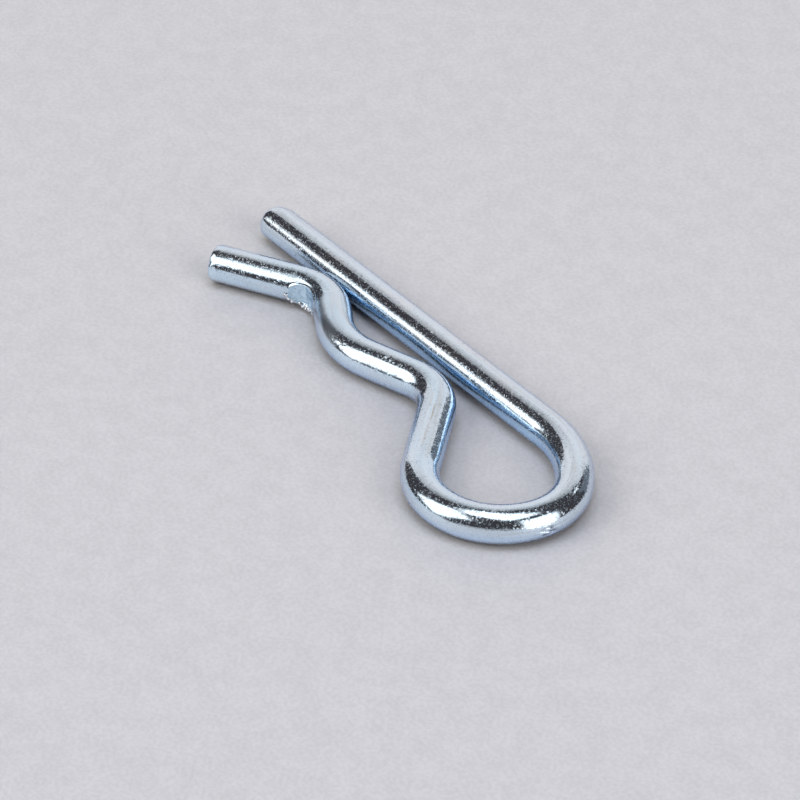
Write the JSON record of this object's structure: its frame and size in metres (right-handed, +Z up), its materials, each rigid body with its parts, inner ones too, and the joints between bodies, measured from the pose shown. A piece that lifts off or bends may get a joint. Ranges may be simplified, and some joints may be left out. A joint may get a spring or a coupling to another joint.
{
  "type": "hitch r clip pin",
  "caption": "Bent-wire hitch clip with a straight leg, an open eye and a wavy spring arm that grips a drilled shaft.",
  "frame": {"origin": "on the straight leg's axis, beside the deepest point of the belly, where the axis of the shaft crosses the leg", "axes": "+X along the straight leg towards the eye, +Y from the wavy arm towards the straight leg, +Z up, square to the flat clip as it lies"},
  "size_m": [0.0474, 0.0161, 0.0032],
  "materials": {
    "zinc_plate": "bright blue-white zinc plate on spring steel wire, with a fine speckled grain and light handling scuffs"
  },
  "bodies": {
    "root": {"clip_wire": "zinc_plate"}
  },
  "joints": []
}
